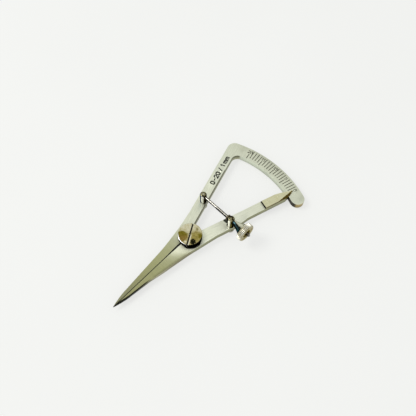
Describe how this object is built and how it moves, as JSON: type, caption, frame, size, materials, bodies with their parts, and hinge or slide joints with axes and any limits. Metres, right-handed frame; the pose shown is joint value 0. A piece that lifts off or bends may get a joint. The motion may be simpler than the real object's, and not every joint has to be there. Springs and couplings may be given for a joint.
{
  "type": "straight bow caliper with arc scale",
  "caption": "Straight bow caliper: two pivoted legs with pointed blades, a pointer reading on an arc scale, and a thumb nut on a spindle that opens the tips.",
  "frame": {"origin": "pivot axis, at the surface that the caliper lies on", "axes": "+Z along the pivot axis, up from the surface; blades point along -Y, parallel to the parting line; the scale arc lies towards +Y; the thumb nut is towards +X"},
  "size_m": [0.0395, 0.0839, 0.0112],
  "materials": {
    "leg_steel": "satin, fine lengthwise grinding",
    "pointer_steel": "satin, warm tint",
    "screw_nickel": "polished, mottled yellow stain",
    "pillar_chrome": "bright polished",
    "spindle_steel": "bright drawn",
    "nut_chrome": "bright polished",
    "wheel_nickel": "satin, straight knurl",
    "hidden_steel": "satin"
  },
  "bodies": {
    "scale_frame": {"scale_leg": "leg_steel", "pivot_screw": "screw_nickel", "pivot_washer": "hidden_steel", "pivot_nut": "hidden_steel"},
    "pointer_arm": {"pointer_leg": "leg_steel", "pointer_plate": "pointer_steel", "keeper_plate": "pointer_steel", "plate_rivets": "pointer_steel"},
    "left_swivel": {"left_pillar": "pillar_chrome", "left_pillar_washer": "hidden_steel", "left_pillar_clip": "hidden_steel", "spindle": "spindle_steel", "spindle_pin": "hidden_steel", "spindle_stop": "hidden_steel"},
    "right_swivel": {"right_pillar": "pillar_chrome", "right_pillar_washer": "hidden_steel", "right_pillar_clip": "hidden_steel"},
    "thumb_nut": {"nut_core": "nut_chrome", "thumb_wheel": "wheel_nickel", "nut_collar": "nut_chrome"}
  },
  "joints": [
    {"name": "leg_pivot", "type": "hinge", "parent": "scale_frame", "child": "pointer_arm", "pos_m": [0, 0, 0.0021], "axis": [0, 0, 1], "range_deg": [0, 31.62]},
    {"name": "left_pillar_swivel", "type": "hinge", "parent": "scale_frame", "child": "left_swivel", "pos_m": [-0.00688, 0.01417, 0.0021], "axis": [0, 0, 1], "range_deg": [0, 15.81]},
    {"name": "right_pillar_swivel", "type": "hinge", "parent": "pointer_arm", "child": "right_swivel", "pos_m": [0.00764, 0.01378, 0.0021], "axis": [0, 0, 1], "range_deg": [-15.81, 0]},
    {"name": "nut_turn", "type": "hinge", "parent": "right_swivel", "child": "thumb_nut", "pos_m": [0.00764, 0.01378, 0.0076], "axis": [-0.9996, 0.027, 0], "range_deg": [0, 8400]}
  ],
  "couplings": [
    {"joint": "leg_pivot", "follows": "nut_turn", "ratio": 0.0037619},
    {"joint": "left_pillar_swivel", "follows": "nut_turn", "ratio": 0.001881},
    {"joint": "right_pillar_swivel", "follows": "nut_turn", "ratio": -0.001881}
  ]
}
